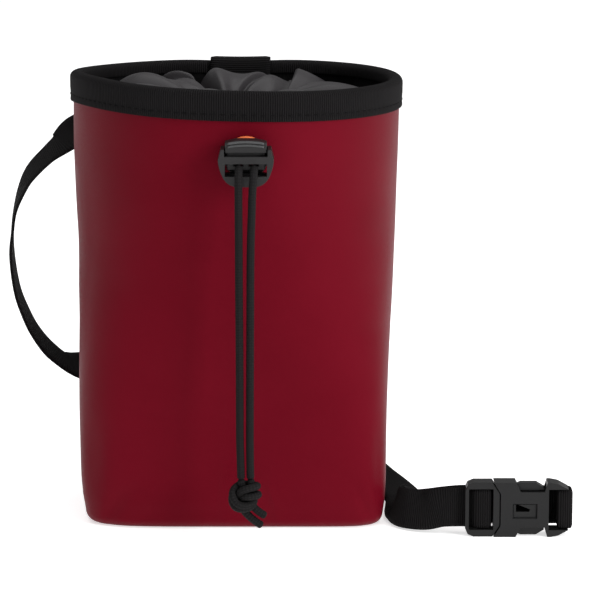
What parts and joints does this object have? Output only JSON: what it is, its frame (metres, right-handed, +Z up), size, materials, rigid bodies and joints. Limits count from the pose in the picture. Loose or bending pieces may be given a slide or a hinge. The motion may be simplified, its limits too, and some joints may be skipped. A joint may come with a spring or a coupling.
{
  "type": "climbing chalk bag",
  "caption": "Padded cloth chalk bag with a bound oval rim, a gathered closure collar, a drawcord with cord lock and a webbing waist belt with side-release buckle.",
  "frame": {"origin": "on the bag's flat base, under the centre of its rim", "axes": "+Z up through the mouth, -Y towards the front with the cord lock, +X towards the buckle"},
  "size_m": [0.2185, 0.1292, 0.1729],
  "materials": {
    "shell_cloth": "satin coated nylon",
    "lining_cloth": "matt fleece",
    "binding_tape": "ribbed matt tape",
    "collar_nylon": "satin nylon",
    "webbing": "ribbed webbing",
    "buckle_plastic": "fine matt grain",
    "lock_plastic": "fine matt grain",
    "eyelet_plastic": "satin",
    "cord": "braided cord"
  },
  "bodies": {
    "bag": {"bag_shell": "shell_cloth", "inner_lining": "lining_cloth", "rim_binding": "binding_tape", "closure_collar": "collar_nylon", "back_strap": "webbing", "waist_belt": "webbing", "buckle_male": "buckle_plastic", "buckle_female": "buckle_plastic", "lock_housing": "lock_plastic", "lock_eyelet": "eyelet_plastic", "drawcord_left": "cord", "drawcord_right": "cord", "drawcord_knot": "cord"},
    "plunger": {"lock_plunger": "lock_plastic"}
  },
  "joints": [
    {"name": "plunger_press", "type": "slide", "parent": "bag", "child": "plunger", "axis": [0, 0.0721, -0.9974], "range_m": [0, 0.002], "stiffness_N_per_m": 800}
  ]
}
